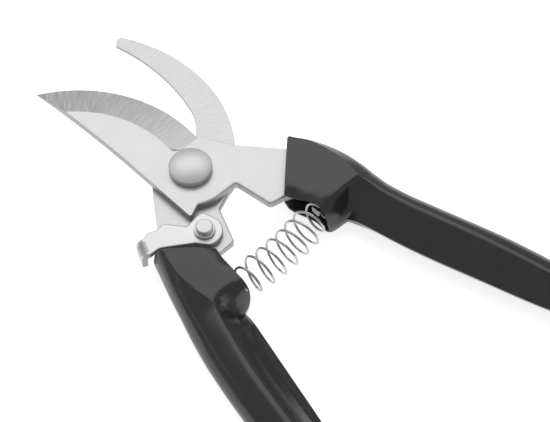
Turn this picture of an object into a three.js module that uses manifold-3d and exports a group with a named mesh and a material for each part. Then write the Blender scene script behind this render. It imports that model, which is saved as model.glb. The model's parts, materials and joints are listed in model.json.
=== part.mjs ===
// Bypass pruning shears, wide open and lying flat.
//
// Millimetres, +Z up. Every shape is drawn about the pivot: the pivot axis is x = 0, y = 0, the jaws
// point along +Y, the grips along -Y, and z = 0 is the surface that the shears lie on. The last lines
// move the whole tool so that the origin is the middle of its footprint.
//
// The counter-blade and its grip are the fixed half. The cutting blade turns on the pivot rivet
// above the counter-blade, with its own grip, and closes clockwise seen from above.

import * as THREE from 'three';
import { mergeVertices } from 'three/addons/utils/BufferGeometryUtils.js';
import Module from 'manifold-3d';

const wasm = await Module();
wasm.setup();

// ---- Driving sizes ----

const PLATE = 3; // thickness of the blade and of the counter-blade
const RUNNING_GAP = 0.1; // between faces that slide on each other
const SHANK_GAP = 0.15; // round a rivet shank in its hole
const SEAT_GAP = 0.3; // round a tang inside its grip

const JAW_LENGTH = 68.7; // pivot to the cutting blade's tip, along Y
const SPINE_OFFSET = 14.2; // pivot to the blade's straight back
const CAM_RADIUS = 15.7; // round edge of the blade below the pivot
const BEVEL_WIDTH = 12.3; // ground bevel of the cutting blade
const EDGE_THICKNESS = 0.25; // left at the cutting edge
const HOOK_LENGTH = JAW_LENGTH - 0.9; // pivot to the counter-blade's tip, along Y
const HOOK_REACH = 33.7; // pivot to the outermost point of the counter-blade
const HOOK_RELIEF = 1.4; // undercut below the counter-blade's inner edge
const HOOK_LAND = 1; // height of the square shearing edge above that undercut

const PIVOT = new THREE.Vector2(0, 0);
const PIVOT_SHANK_RADIUS = 4;
const PIVOT_HEAD_RADIUS = 8;
const PIVOT_HEAD_WALL = 2.3; // straight side of the head
const PIVOT_HEAD_DOME = 1.7; // rise of the dome above it
const PIVOT_WASHER_RADIUS = 7;
const PIVOT_WASHER_THICKNESS = 1.2;
const PIVOT_TAIL_RADIUS = 5.6;
const PIVOT_TAIL_HEIGHT = 2;

const LATCH_THICKNESS = 2.1;
const LATCH_PIVOT = new THREE.Vector2(-14.3, -22.5);
const LATCH_HEAD_RADIUS = 6.5;
const LATCH_TAB_DEPTH = 9.6; // how far the thumb tab hangs below the lever's top face
const LATCH_SHANK_RADIUS = 2.4;
const LATCH_WASHER_RADIUS = 3.85;
const LATCH_WASHER_THICKNESS = 1.1;
const LATCH_RIVET_HEAD_RADIUS = 3.1;
const LATCH_RIVET_HEAD_HEIGHT = 1.9;
const LATCH_TAIL_RADIUS = 3.4;
const LATCH_TAIL_HEIGHT = 1.3;

const GRIP_THICKNESS = 14;
const GRIP_END = -139; // y of the grips' rounded ends
const GRIP_END_ROUNDING = 9; // length over which they round off
const HOUSING_END = -53; // y where each grip's wide housing ends
const END_FACE_DISTANCE = 34.8; // pivot to the grips' flat end faces
const END_FACE_ANGLE = 47.8; // degrees below the X axis that each end face looks back along
const HOUSING_WALL = 1.3; // above and below the spring pocket
const HOUSING_ROUNDING = 3; // edges of the housing
const HANDLE_ROUNDING = 5.6; // edges of the handle below it
const POCKET_FLOOR = 26; // pivot to the floor of each spring pocket, along X
const POCKET_END = -51; // y of the pocket's far side

const SPRING_RADIUS = 6.45; // to the middle of the wire
const WIRE_RADIUS = 0.48;
const SPRING_END_GAP = 0.62; // between the last turns and the pocket that they are closed in to fit
const SPRING_END_RADIUS = GRIP_THICKNESS / 2 - HOUSING_WALL - WIRE_RADIUS - SPRING_END_GAP;
const SPRING_TURNS = 9.5;
const SPRING_BOW = 3.2; // how far its middle bends away from the pivot
const SPRING_SEAT_Y = -44.4;
const NIB_GAP = 2.12; // from the tang's nib to the last turn that sits over it, where the spring bows
const NIB_WIDTH = 2 * (SPRING_END_RADIUS - WIRE_RADIUS - NIB_GAP);
const NIB_TIP = 19.6; // pivot to the nib's end, along X

// ---- Levels that follow from the sizes ----

const HOOK_BOTTOM = (GRIP_THICKNESS - PLATE) / 2;
const HOOK_TOP = HOOK_BOTTOM + PLATE;
const BLADE_BOTTOM = HOOK_TOP + RUNNING_GAP;
const BLADE_TOP = BLADE_BOTTOM + PLATE;
const LATCH_BOTTOM = HOOK_TOP + RUNNING_GAP;
const LATCH_TOP = LATCH_BOTTOM + LATCH_THICKNESS;
const HOOK_GRIP_MIDDLE = HOOK_BOTTOM + PLATE / 2;
const BLADE_GRIP_MIDDLE = BLADE_BOTTOM + PLATE / 2;

const ROUND_SEGMENTS = 48; // sides of a full circle
const CUTTER_SIZE = 80; // larger than any piece that it trims
const OVERRUN = 1; // how far a cutter runs past the faces that it cuts through

// ---- Materials ----

function finish(name, color, roughness, metalness) {
  return new THREE.MeshStandardMaterial({ name, color, roughness, metalness });
}

const brushedSteel = () => finish('brushed_steel', 0xd2d3d4, 0.38, 1);
const satinSteel = () => finish('satin_steel', 0xc4c5c7, 0.3, 1);
const springSteel = () => finish('spring_steel', 0xbfc1c4, 0.22, 1);
const blackPlastic = () => finish('black_plastic', 0x1d1d1f, 0.36, 0);

// ---- Solids ----

// Only closed positions matter for joining and cutting, so normals and uvs are dropped first.
function toSolid(geometry) {
  const bare = geometry.clone();
  bare.deleteAttribute('normal');
  bare.deleteAttribute('uv');
  const merged = mergeVertices(bare, 1e-5);
  const vertProperties = new Float32Array(merged.attributes.position.array);
  const triVerts = new Uint32Array(merged.index.array);
  return new wasm.Manifold(new wasm.Mesh({ numProp: 3, vertProperties, triVerts }));
}

function toGeometry(solid) {
  const mesh = solid.getMesh();
  const geometry = new THREE.BufferGeometry();
  geometry.setAttribute('position', new THREE.BufferAttribute(mesh.vertProperties, 3));
  geometry.setIndex(new THREE.BufferAttribute(mesh.triVerts, 1));
  geometry.computeVertexNormals();
  return geometry;
}

function extrudedSolid(points, bottom, top) {
  const shape = new THREE.Shape(points);
  const geometry = new THREE.ExtrudeGeometry(shape, { depth: top - bottom, bevelEnabled: false });
  geometry.translate(0, 0, bottom);
  return toSolid(geometry);
}

function pointOnCircle(centre, radius, angle) {
  return new THREE.Vector2(centre.x + radius * Math.cos(angle), centre.y + radius * Math.sin(angle));
}

function discPoints(centre, radius, segments = ROUND_SEGMENTS) {
  const points = [];
  for (let i = 0; i < segments; i += 1) {
    points.push(pointOnCircle(centre, radius, (i * 2 * Math.PI) / segments));
  }
  return points;
}

function disc(centre, radius, bottom, top) {
  return extrudedSolid(discPoints(centre, radius), bottom, top);
}

// A turned piece: profile is [radius, z] pairs from the lower end of the axis to its upper end.
function turnedGeometry(profile, centre) {
  const points = profile.map(([radius, z]) => new THREE.Vector2(radius, z));
  const geometry = new THREE.LatheGeometry(points, ROUND_SEGMENTS);
  geometry.rotateX(Math.PI / 2);
  geometry.translate(centre.x, centre.y, 0);
  return geometry;
}

// ---- Outlines ----

function polar(radius, degrees) {
  const angle = THREE.MathUtils.degToRad(degrees);
  return [radius * Math.cos(angle), radius * Math.sin(angle)];
}

// Points of the circular arc from start through middle to end, without its first point.
function arcThrough(start, middle, end, steps) {
  const one = middle.clone().sub(start);
  const two = end.clone().sub(start);
  const d = 2 * one.cross(two);
  const centre = new THREE.Vector2(
    start.x + (two.y * one.lengthSq() - one.y * two.lengthSq()) / d,
    start.y + (one.x * two.lengthSq() - two.x * one.lengthSq()) / d,
  );
  const radius = centre.distanceTo(start);
  const from = Math.atan2(start.y - centre.y, start.x - centre.x);
  let sweep = Math.atan2(end.y - centre.y, end.x - centre.x) - from;
  const turnsLeft = d > 0;
  if (turnsLeft && sweep < 0) sweep += 2 * Math.PI;
  if (!turnsLeft && sweep > 0) sweep -= 2 * Math.PI;
  const points = [];
  for (let i = 1; i < steps; i += 1) {
    points.push(pointOnCircle(centre, radius, from + (sweep * i) / steps));
  }
  points.push(end.clone());
  return points;
}

// Rounds the corner between two straight edges with an arc of the given radius.
function roundedCorner(before, corner, after, radius, steps) {
  const inwards = before.clone().sub(corner).normalize();
  const outwards = after.clone().sub(corner).normalize();
  const half = Math.acos(THREE.MathUtils.clamp(inwards.dot(outwards), -1, 1)) / 2;
  const setback = radius / Math.tan(half);
  const start = corner.clone().addScaledVector(inwards, setback);
  const end = corner.clone().addScaledVector(outwards, setback);
  const bisector = inwards.clone().add(outwards).normalize();
  const middle = corner.clone().addScaledVector(bisector, radius / Math.sin(half) - radius);
  return [start, ...arcThrough(start, middle, end, steps)];
}

// An outline is a closed list of corners: at is the corner, round its radius, and via a point that
// the edge leading to it bends through.
function outlinePoints(corners, stepsPerArc = 10) {
  const at = corners.map((corner) => new THREE.Vector2(...corner.at));
  const points = [];
  corners.forEach((corner, i) => {
    const before = at[(i + at.length - 1) % at.length];
    const after = at[(i + 1) % at.length];
    if (corner.round) {
      points.push(...roundedCorner(before, at[i], after, corner.round, 5));
    } else if (corner.via) {
      points.push(...arcThrough(before, new THREE.Vector2(...corner.via), at[i], stepsPerArc));
    } else {
      points.push(at[i].clone());
    }
  });
  return points;
}

// Moves every edge of a closed outline outwards by the same distance.
function grownOutline(points, distance) {
  const sign = THREE.ShapeUtils.isClockWise(points) ? -1 : 1;
  return points.map((point, i) => {
    const before = points[(i + points.length - 1) % points.length];
    const after = points[(i + 1) % points.length];
    const one = point.clone().sub(before).normalize();
    const two = after.clone().sub(point).normalize();
    const normal = new THREE.Vector2(one.y + two.y, -one.x - two.x).normalize();
    const stretch = Math.max(normal.x * one.y - normal.y * one.x, 0.5);
    return point.clone().addScaledVector(normal, (sign * distance) / stretch);
  });
}

// ---- Cutting blade ----

const BLADE_TIP = [-17, JAW_LENGTH];
const BLADE_HEEL = [12.7, 10.6];
const CUTTING_EDGE_CORNERS = [
  { at: BLADE_HEEL },
  { at: BLADE_TIP, via: [5.9, JAW_LENGTH * 0.668] },
];
const TANG_ENTRY_OUTER = [31.4, -18.5];
const TANG_ENTRY_INNER = [15.5, -32.9];

function nibCorners(side) {
  const root = POCKET_FLOOR + 1.4;
  const upper = SPRING_SEAT_Y + NIB_WIDTH / 2;
  const lower = SPRING_SEAT_Y - NIB_WIDTH / 2;
  return [
    { at: [side * root, upper] },
    { at: [side * NIB_TIP, upper], round: 0.6 },
    { at: [side * NIB_TIP, lower], round: 0.6 },
    { at: [side * root, lower] },
  ];
}

// The part of the tang that the grip hides, from the pocket's wall round its end and back out.
function hiddenTangCorners(side) {
  return [
    { at: [side * 27.4, -38.5] },
    ...nibCorners(side),
    { at: [side * 32, -56] },
    { at: [side * 38, -78], round: 3 },
    { at: [side * 47, -76], round: 3 },
    { at: [side * 42, -56] },
    { at: [side * 40.4, -38] },
    { at: [side * 38, -28] },
  ];
}

const bladeOutline = outlinePoints([
  ...CUTTING_EDGE_CORNERS,
  { at: [-SPINE_OFFSET, 20], via: [-SPINE_OFFSET - 0.9, JAW_LENGTH * 0.655] },
  { at: [-SPINE_OFFSET, -15.2], round: 0.7 },
  { at: [-9.9, -13.5], round: 0.6 },
  { at: polar(CAM_RADIUS, -123.5) },
  { at: [0.5, -CAM_RADIUS], via: polar(CAM_RADIUS, -106) },
  { at: [7.6, -CAM_RADIUS - 0.2], round: 1.6 },
  { at: [9.9, -31.4], round: 1.4 },
  { at: TANG_ENTRY_INNER },
  ...hiddenTangCorners(1),
  { at: TANG_ENTRY_OUTER },
  { at: [19.1, -3.6] },
  { at: [12.9, 8.2], via: [15.5, 3] },
]);

// A cutter that follows an edge: section takes each point of the edge and the direction to its right,
// and gives the cutter's corners there.
function cutterAlong(edge, section) {
  const rings = edge.map((point, i) => {
    const before = edge[Math.max(i - 1, 0)];
    const after = edge[Math.min(i + 1, edge.length - 1)];
    const along = after.clone().sub(before).normalize();
    return section(point, new THREE.Vector2(along.y, -along.x));
  });
  return toSolid(loftGeometry(rings));
}

// The bevel falls from the blade's full thickness at its inner line to the thin cutting edge.
function bevelCutter() {
  const edge = outlinePoints(CUTTING_EDGE_CORNERS, 14);
  const slope = (PLATE - EDGE_THICKNESS) / BEVEL_WIDTH;
  const overhang = 2;
  return cutterAlong(edge, (point, outwards) => {
    const inner = point.clone().addScaledVector(outwards, -BEVEL_WIDTH);
    const outer = point.clone().addScaledVector(outwards, overhang);
    return [
      [inner.x, inner.y, BLADE_TOP],
      [outer.x, outer.y, BLADE_BOTTOM + EDGE_THICKNESS - overhang * slope],
      [outer.x, outer.y, BLADE_TOP + OVERRUN],
      [inner.x, inner.y, BLADE_TOP + OVERRUN],
    ];
  });
}

function plateHole(centre, shankRadius, bottom, top) {
  return disc(centre, shankRadius + SHANK_GAP, bottom - OVERRUN, top + OVERRUN);
}

function cuttingBlade() {
  const hole = plateHole(PIVOT, PIVOT_SHANK_RADIUS, BLADE_BOTTOM, BLADE_TOP);
  const plate = extrudedSolid(bladeOutline, BLADE_BOTTOM, BLADE_TOP);
  return toGeometry(plate.subtract(hole).subtract(bevelCutter()));
}

// ---- Counter-blade ----

const HOOK_INNER_CORNERS = [
  { at: [13, 11.4] },
  { at: [20.7, 24.1], via: [18, 17.1] },
  { at: [20.7, HOOK_LENGTH - 2.3], via: [23.4, 45] },
];

const hookOutline = outlinePoints([
  ...HOOK_INNER_CORNERS,
  { at: [22.4, HOOK_LENGTH - 0.5] },
  { at: [25.5, HOOK_LENGTH - 0.7], via: [23.9, HOOK_LENGTH + 0.1] },
  { at: [HOOK_REACH, 35.8], via: [31.3, 53.3] },
  { at: [20.6, -1.9], via: [30.8, 16.3] },
  { at: [4.7, -15.4], via: [14.6, -10.8] },
  { at: [-3, -18.3], round: 1 },
  { at: [-9, -32.2], round: 1.4 },
  { at: [-TANG_ENTRY_INNER[0] - 0.5, TANG_ENTRY_INNER[1] + 1] },
  ...hiddenTangCorners(-1),
  { at: [-TANG_ENTRY_OUTER[0], TANG_ENTRY_OUTER[1] + 1] },
  { at: [-11.7, 9.1] },
  { at: [0, 14.8], via: [-7.4, 12.8] },
]);

// The inner edge is relieved below its land, so that only its top corner shears against the blade.
function reliefCutter() {
  const edge = outlinePoints(HOOK_INNER_CORNERS, 8);
  const landBottom = HOOK_TOP - HOOK_LAND;
  const slope = HOOK_RELIEF / (landBottom - HOOK_BOTTOM);
  const overhang = 2;
  return cutterAlong(edge, (point, intoMetal) => {
    const outer = point.clone().addScaledVector(intoMetal, -overhang);
    const inner = point.clone().addScaledVector(intoMetal, HOOK_RELIEF + slope * OVERRUN);
    return [
      [point.x, point.y, landBottom],
      [outer.x, outer.y, landBottom],
      [outer.x, outer.y, HOOK_BOTTOM - OVERRUN],
      [inner.x, inner.y, HOOK_BOTTOM - OVERRUN],
    ];
  });
}

function counterBlade() {
  const pivotHole = plateHole(PIVOT, PIVOT_SHANK_RADIUS, HOOK_BOTTOM, HOOK_TOP);
  const latchHole = plateHole(LATCH_PIVOT, LATCH_SHANK_RADIUS, HOOK_BOTTOM, HOOK_TOP);
  const plate = extrudedSolid(hookOutline, HOOK_BOTTOM, HOOK_TOP);
  return toGeometry(plate.subtract(pivotHole).subtract(latchHole).subtract(reliefCutter()));
}

// ---- Pivot ----

function pivotRivet() {
  const washerBottom = HOOK_BOTTOM - 2 * RUNNING_GAP - PIVOT_WASHER_THICKNESS;
  const headBottom = BLADE_TOP + RUNNING_GAP;
  const headShoulder = headBottom + PIVOT_HEAD_WALL;
  const profile = [
    [0, washerBottom - PIVOT_TAIL_HEIGHT],
    [PIVOT_TAIL_RADIUS * 0.7, washerBottom - PIVOT_TAIL_HEIGHT],
    [PIVOT_TAIL_RADIUS, washerBottom - PIVOT_TAIL_HEIGHT * 0.4],
    [PIVOT_TAIL_RADIUS, washerBottom],
    [PIVOT_SHANK_RADIUS, washerBottom],
    [PIVOT_SHANK_RADIUS, headBottom],
    [PIVOT_HEAD_RADIUS - 0.3, headBottom],
    [PIVOT_HEAD_RADIUS, headBottom + 0.3],
  ];
  const domeSteps = 6;
  for (let i = 0; i <= domeSteps; i += 1) {
    const share = 1 - i / domeSteps;
    profile.push([PIVOT_HEAD_RADIUS * share, headShoulder + PIVOT_HEAD_DOME * (1 - share * share)]);
  }
  return turnedGeometry(profile, PIVOT);
}

function ring(outerRadius, innerRadius, bottom, top, centre) {
  const profile = [
    [innerRadius, bottom],
    [outerRadius, bottom],
    [outerRadius, top],
    [innerRadius, top],
    [innerRadius, bottom],
  ];
  return turnedGeometry(profile, centre);
}

function pivotWasher() {
  const top = HOOK_BOTTOM - RUNNING_GAP;
  const bore = PIVOT_SHANK_RADIUS + SHANK_GAP;
  return ring(PIVOT_WASHER_RADIUS, bore, top - PIVOT_WASHER_THICKNESS, top, PIVOT);
}

// ---- Latch ----

const TAB_NEAR = new THREE.Vector2(-36.6, -15);
const TAB_FAR = new THREE.Vector2(-33.2, -8);

const latchOutline = outlinePoints([
  { at: [-12.6, -15.9], round: 0.8 },
  { at: [-9.4, -16], round: 1.6 },
  { at: [LATCH_PIVOT.x + LATCH_HEAD_RADIUS, LATCH_PIVOT.y + 1.4] },
  {
    at: [LATCH_PIVOT.x - 2.9, LATCH_PIVOT.y - LATCH_HEAD_RADIUS * 0.85],
    via: [LATCH_PIVOT.x + LATCH_HEAD_RADIUS * 0.62, LATCH_PIVOT.y - LATCH_HEAD_RADIUS * 0.78],
  },
  { at: [-20.2, -24], round: 1 },
  { at: [-32.2, -15.2], round: 3 },
  { at: TAB_NEAR.toArray() },
  { at: TAB_FAR.toArray() },
  { at: [-31.3, -7.7], round: 1 },
  { at: [-26.2, -10.2], round: 2 },
  { at: [-23, -9.6], round: 1.2 },
  { at: [-17.4, -16.7], round: 0.9 },
]);

// The thumb tab is folded straight down from the lever's end and has a round lower edge.
function latchTab() {
  const along = TAB_FAR.clone().sub(TAB_NEAR);
  const width = along.length();
  const rounding = width / 2 - 0.2;
  const shape = new THREE.Shape(
    outlinePoints([
      { at: [0, LATCH_TOP] },
      { at: [0, LATCH_TOP - LATCH_TAB_DEPTH], round: rounding },
      { at: [width, LATCH_TOP - LATCH_TAB_DEPTH], round: rounding },
      { at: [width, LATCH_TOP] },
    ]),
  );
  const geometry = new THREE.ExtrudeGeometry(shape, { depth: LATCH_THICKNESS, bevelEnabled: false });
  geometry.rotateX(Math.PI / 2);
  geometry.rotateZ(along.angle());
  geometry.translate(TAB_NEAR.x, TAB_NEAR.y, 0);
  return toSolid(geometry);
}

function latchLever() {
  const hole = plateHole(LATCH_PIVOT, LATCH_SHANK_RADIUS, LATCH_BOTTOM, LATCH_TOP);
  const lever = extrudedSolid(latchOutline, LATCH_BOTTOM, LATCH_TOP);
  return toGeometry(lever.add(latchTab()).subtract(hole));
}

function latchWasher() {
  const bottom = LATCH_TOP + RUNNING_GAP;
  const bore = LATCH_SHANK_RADIUS + SHANK_GAP;
  return ring(LATCH_WASHER_RADIUS, bore, bottom, bottom + LATCH_WASHER_THICKNESS, LATCH_PIVOT);
}

function latchRivet() {
  const tailTop = HOOK_BOTTOM - RUNNING_GAP;
  const headBottom = LATCH_TOP + LATCH_WASHER_THICKNESS + 2 * RUNNING_GAP;
  const headTop = headBottom + LATCH_RIVET_HEAD_HEIGHT;
  const profile = [
    [0, tailTop - LATCH_TAIL_HEIGHT],
    [LATCH_TAIL_RADIUS * 0.75, tailTop - LATCH_TAIL_HEIGHT],
    [LATCH_TAIL_RADIUS, tailTop - LATCH_TAIL_HEIGHT * 0.4],
    [LATCH_TAIL_RADIUS, tailTop],
    [LATCH_SHANK_RADIUS, tailTop],
    [LATCH_SHANK_RADIUS, headBottom],
    [LATCH_RIVET_HEAD_RADIUS, headBottom],
    [LATCH_RIVET_HEAD_RADIUS, headTop - 0.5],
    [LATCH_RIVET_HEAD_RADIUS - 0.5, headTop],
    [0, headTop],
  ];
  return turnedGeometry(profile, LATCH_PIVOT);
}

// ---- Return spring ----

class SpringPath extends THREE.Curve {
  getPoint(t) {
    const reach = POCKET_FLOOR - SEAT_GAP - WIRE_RADIUS;
    const turnsFromEnd = Math.min(t, 1 - t) * SPRING_TURNS;
    const opened = THREE.MathUtils.smoothstep(turnsFromEnd, 1, 2.5);
    const radius = THREE.MathUtils.lerp(SPRING_END_RADIUS, SPRING_RADIUS, opened);
    const angle = t * SPRING_TURNS * 2 * Math.PI;
    const bow = 4 * SPRING_BOW * t * (1 - t);
    const lean = (opened * 4 * SPRING_BOW * (1 - 2 * t)) / (2 * reach);
    const middle = THREE.MathUtils.lerp(HOOK_GRIP_MIDDLE, BLADE_GRIP_MIDDLE, t);
    return new THREE.Vector3(
      -reach + 2 * reach * t + radius * Math.cos(angle) * lean,
      SPRING_SEAT_Y - bow + radius * Math.cos(angle),
      middle + radius * Math.sin(angle),
    );
  }
}

function returnSpring() {
  const wire = new THREE.Shape(discPoints(new THREE.Vector2(), WIRE_RADIUS, 8));
  const steps = Math.round(SPRING_TURNS * 14);
  const path = new SpringPath();
  path.arcLengthDivisions = steps * 8;
  return new THREE.ExtrudeGeometry(wire, { steps, extrudePath: path, bevelEnabled: false });
}

// ---- Grips ----

// Each grip is drawn by where its outer and inner sides run, as [y, distance from the pivot axis
// along X]. The last points follow the grip's end.
const handleShare = (share) => THREE.MathUtils.lerp(HOUSING_END, GRIP_END, share);

const BLADE_GRIP_OUTER = [
  [-10, 31],
  [-18, 36.6],
  [-23, 40],
  [-30, 43],
  [-38, 45],
  [-46, 45.7],
  [HOUSING_END, 45.4],
  [handleShare(0.1), 47.1],
  [handleShare(0.3), 52.1],
  [handleShare(0.6), 60],
  [handleShare(0.85), 65.3],
  [handleShare(1), 67.6],
];

const BLADE_GRIP_INNER = [
  [-10, 14.6],
  [-34, 14.6],
  [-40, 16],
  [-50, 18],
  [HOUSING_END, 19.6],
  [HOUSING_END - 1.6, 26.6],
  [handleShare(0.1), 28.9],
  [handleShare(0.3), 33.8],
  [handleShare(0.6), 41.9],
  [handleShare(0.85), 48.7],
  [handleShare(1), 54],
];

const HOOK_GRIP_OUTER = [
  [-10, 29],
  [-15, 33.4],
  [-23, 36.6],
  [-31, 39.6],
  [-40, 42.8],
  [-50, 46.3],
  [handleShare(0.1), 49.6],
  [handleShare(0.3), 53.3],
  [handleShare(0.6), 57.6],
  [handleShare(0.85), 60.8],
  [handleShare(1), 61.9],
];

const HOOK_GRIP_INNER = [
  [-10, 15],
  [-32, 16],
  [-40, 17.2],
  [-47, 18.3],
  [HOUSING_END + 1, 21],
  [HOUSING_END - 2.2, 24.8],
  [handleShare(0.1), 27.7],
  [handleShare(0.3), 31.5],
  [handleShare(0.6), 37.7],
  [handleShare(0.85), 43.5],
  [handleShare(1), 48],
];

// Smooth reading of a side between its points.
function sideAt(points, y) {
  const last = points.length - 1;
  let i = points.findIndex((point) => point[0] <= y) - 1;
  if (i < 0) i = y >= points[0][0] ? 0 : last - 1;
  const slope = (k) => {
    const a = points[Math.max(k - 1, 0)];
    const b = points[Math.min(k + 1, last)];
    return (b[1] - a[1]) / (b[0] - a[0]);
  };
  const span = points[i + 1][0] - points[i][0];
  const t = THREE.MathUtils.clamp((y - points[i][0]) / span, 0, 1);
  const h = t * t * (3 - 2 * t);
  const straight = THREE.MathUtils.lerp(points[i][1], points[i + 1][1], h);
  return straight + span * (slope(i) * t * (1 - t) ** 2 - slope(i + 1) * t * t * (1 - t));
}

// A closed body through rings of [x, y, z] points, all with the same number of points.
function loftGeometry(rings) {
  const count = rings[0].length;
  const positions = rings.flat(2);
  const indices = [];
  for (let r = 0; r < rings.length - 1; r += 1) {
    for (let i = 0; i < count; i += 1) {
      const a = r * count + i;
      const b = r * count + ((i + 1) % count);
      indices.push(a, b, a + count, b, b + count, a + count);
    }
  }
  const lastRing = (rings.length - 1) * count;
  for (let i = 1; i < count - 1; i += 1) {
    indices.push(0, i + 1, i);
    indices.push(lastRing, lastRing + i, lastRing + i + 1);
  }
  const geometry = new THREE.BufferGeometry();
  geometry.setAttribute('position', new THREE.Float32BufferAttribute(positions, 3));
  geometry.setIndex(indices);
  if (signedVolume(geometry) < 0) geometry.setIndex(indices.reverse());
  return geometry;
}

function signedVolume(geometry) {
  const { position } = geometry.attributes;
  const corner = [new THREE.Vector3(), new THREE.Vector3(), new THREE.Vector3()];
  let volume = 0;
  for (let i = 0; i < geometry.index.count; i += 3) {
    corner.forEach((c, k) => c.fromBufferAttribute(position, geometry.index.getX(i + k)));
    volume += corner[0].dot(corner[1].clone().cross(corner[2])) / 6;
  }
  return volume;
}

// One cross-section of a grip: a rounded rectangle, shrunk about its middle near the grip's end.
function gripSection(side, outer, inner, middle, y) {
  const fromEnd = THREE.MathUtils.clamp((y - GRIP_END) / GRIP_END_ROUNDING, 0.02, 1);
  const shrink = Math.sqrt(1 - (1 - fromEnd) ** 2);
  const outerX = sideAt(outer, y);
  const innerX = sideAt(inner, y);
  const halfWidth = ((outerX - innerX) / 2) * shrink;
  const halfThickness = (GRIP_THICKNESS / 2) * shrink;
  const intoHandle = THREE.MathUtils.smoothstep(HOUSING_END - y, -6, 8);
  const rounding = THREE.MathUtils.lerp(HOUSING_ROUNDING, HANDLE_ROUNDING, intoHandle);
  const radius = Math.min(rounding, halfThickness - 0.2, halfWidth - 0.2);
  const ringPoints = [];
  const cornerSteps = 5;
  [[1, 1], [-1, 1], [-1, -1], [1, -1]].forEach(([sx, sz], quarter) => {
    for (let i = 0; i <= cornerSteps; i += 1) {
      const angle = ((quarter + i / cornerSteps) * Math.PI) / 2;
      const x = (outerX + innerX) / 2 + sx * (halfWidth - radius) + radius * Math.cos(angle);
      const z = middle + sz * (halfThickness - radius) + radius * Math.sin(angle);
      ringPoints.push([side * x, y, z]);
    }
  });
  return ringPoints;
}

// Where along Y the grips' cross-sections are taken: closest together where the housing ends.
function gripStations() {
  const stations = [-12, -16, -20, -25, -30, -35, -40, -45, -49, HOUSING_END + 1.5, HOUSING_END - 0.2];
  stations.push(HOUSING_END - 1.8, HOUSING_END - 3.5, HOUSING_END - 7);
  for (let share = 0.16; share < 0.89; share += 0.09) stations.push(handleShare(share));
  const endSteps = 4;
  for (let k = 0; k <= endSteps; k += 1) {
    const share = Math.sin((k * Math.PI) / (2 * endSteps));
    stations.push(GRIP_END + GRIP_END_ROUNDING * (1 - share));
  }
  return stations;
}

// Everything on the pivot's side of a grip's flat end face.
function endFaceCutter(side) {
  const box = new THREE.BoxGeometry(CUTTER_SIZE, CUTTER_SIZE, CUTTER_SIZE);
  box.translate(END_FACE_DISTANCE - CUTTER_SIZE / 2, 0, 0);
  box.rotateZ(THREE.MathUtils.degToRad(side > 0 ? -END_FACE_ANGLE : END_FACE_ANGLE - 180));
  return toSolid(box);
}

// The pocket for the spring's end is open towards the other grip and at the end face.
function springPocket(side, middle) {
  const halfHeight = GRIP_THICKNESS / 2 - HOUSING_WALL;
  const length = -POCKET_END + END_FACE_DISTANCE / 2;
  const box = new THREE.BoxGeometry(POCKET_FLOOR, length, 2 * halfHeight);
  box.translate((side * POCKET_FLOOR) / 2, POCKET_END + length / 2, middle);
  return toSolid(box);
}

function grip(side, outer, inner, middle, tangOutline) {
  const rings = gripStations().map((y) => gripSection(side, outer, inner, middle, y));
  const reach = PLATE / 2 + SEAT_GAP;
  const tangSlot = extrudedSolid(grownOutline(tangOutline, SEAT_GAP), middle - reach, middle + reach);
  let body = toSolid(loftGeometry(rings));
  for (const cutter of [endFaceCutter(side), springPocket(side, middle), tangSlot]) {
    body = body.subtract(cutter);
  }
  return toGeometry(body);
}

function hookGrip() {
  return grip(-1, HOOK_GRIP_OUTER, HOOK_GRIP_INNER, HOOK_GRIP_MIDDLE, hookOutline);
}

function bladeGrip() {
  return grip(1, BLADE_GRIP_OUTER, BLADE_GRIP_INNER, BLADE_GRIP_MIDDLE, bladeOutline);
}

// ---- Assembly ----

const shears = new THREE.Group();
const fixedHalf = new THREE.Group();
const movingHalf = new THREE.Group();
shears.add(fixedHalf, movingHalf);

function addPiece(half, name, geometry, material) {
  const mesh = new THREE.Mesh(geometry, material);
  mesh.name = name;
  half.add(mesh);
}

addPiece(fixedHalf, 'counter_blade', counterBlade(), brushedSteel());
addPiece(fixedHalf, 'hook_grip', hookGrip(), blackPlastic());
addPiece(fixedHalf, 'pivot_rivet', pivotRivet(), satinSteel());
addPiece(fixedHalf, 'pivot_washer', pivotWasher(), satinSteel());
addPiece(fixedHalf, 'latch_lever', latchLever(), brushedSteel());
addPiece(fixedHalf, 'latch_washer', latchWasher(), satinSteel());
addPiece(fixedHalf, 'latch_rivet', latchRivet(), satinSteel());
addPiece(fixedHalf, 'return_spring', returnSpring(), springSteel());
addPiece(movingHalf, 'cutting_blade', cuttingBlade(), brushedSteel());
addPiece(movingHalf, 'blade_grip', bladeGrip(), blackPlastic());

const footprint = new THREE.Box3().setFromObject(shears);
const middleOfFootprint = footprint.getCenter(new THREE.Vector3());
shears.position.set(-middleOfFootprint.x, -middleOfFootprint.y, -footprint.min.z);

export default shears;
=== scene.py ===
"""Looks of the bypass pruning shears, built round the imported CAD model.

Shapes are drawn in millimetres about the pivot, as in the CAD source: the pivot axis is x = 0, y = 0,
the jaws point along +Y and the grips along -Y. mesh_piece() moves them into the row frame, in metres.
"""

import json
import math

import bpy
import numpy as np
from mathutils import Matrix, Vector
from mathutils.geometry import delaunay_2d_cdt

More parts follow.
